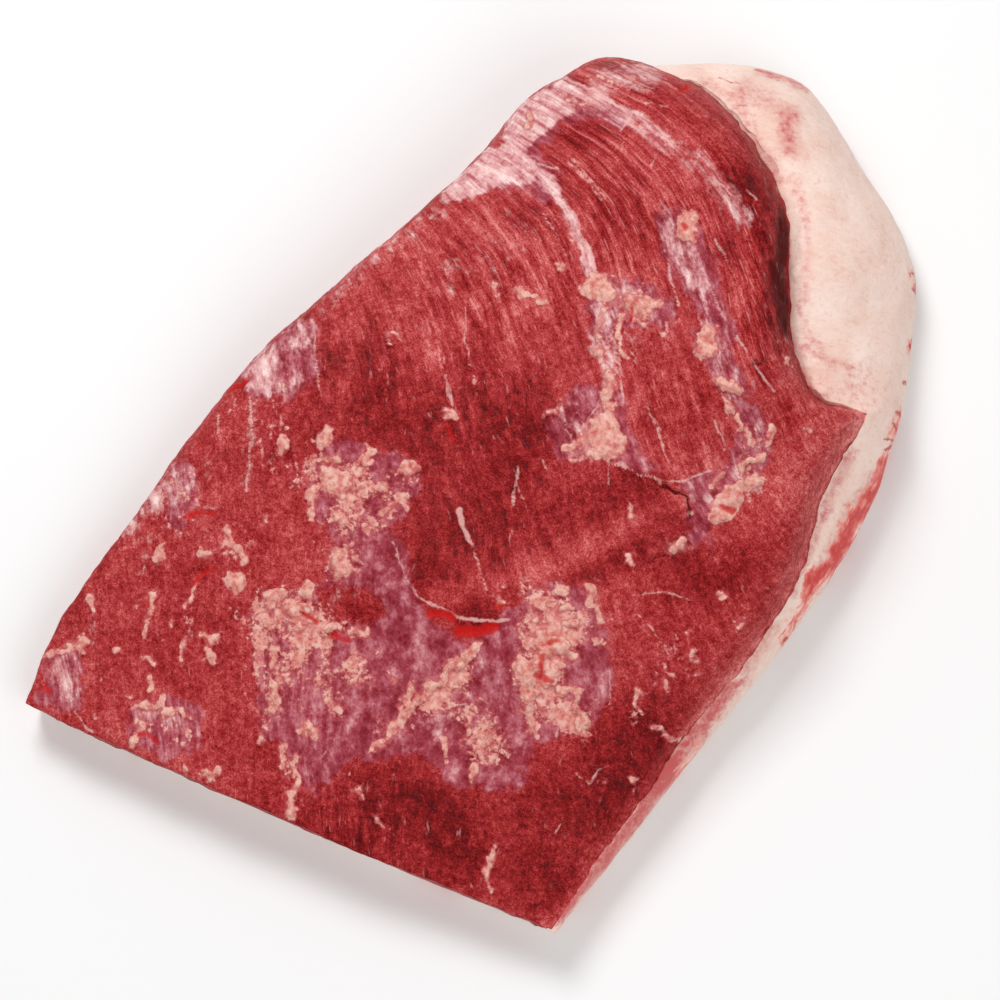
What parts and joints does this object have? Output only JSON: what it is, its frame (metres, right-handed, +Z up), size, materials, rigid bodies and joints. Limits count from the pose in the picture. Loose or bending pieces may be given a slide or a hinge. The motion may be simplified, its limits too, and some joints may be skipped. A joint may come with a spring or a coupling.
{
  "type": "raw beef brisket",
  "caption": "Whole raw beef brisket lying on its fat cap, meat side up: thin knife-cut flat end, thick domed point end, fat wrapping up one wall and round the point.",
  "frame": {"origin": "middle of the piece on the surface it lies on", "axes": "+Y along the length from the knife-cut flat end to the thick point end, +X towards the side where the fat cap wraps up the wall, +Z up with the meat side on top"},
  "size_m": [0.2846, 0.4648, 0.0929],
  "materials": {
    "lean": "moist dark red muscle with fine grain, pale silverskin and small lumps of fat",
    "fat": "smooth waxy cream fat with a pink tinge and faint wrinkles"
  },
  "bodies": {
    "root": {"lean": "lean", "fat_cap": "fat"}
  },
  "joints": []
}
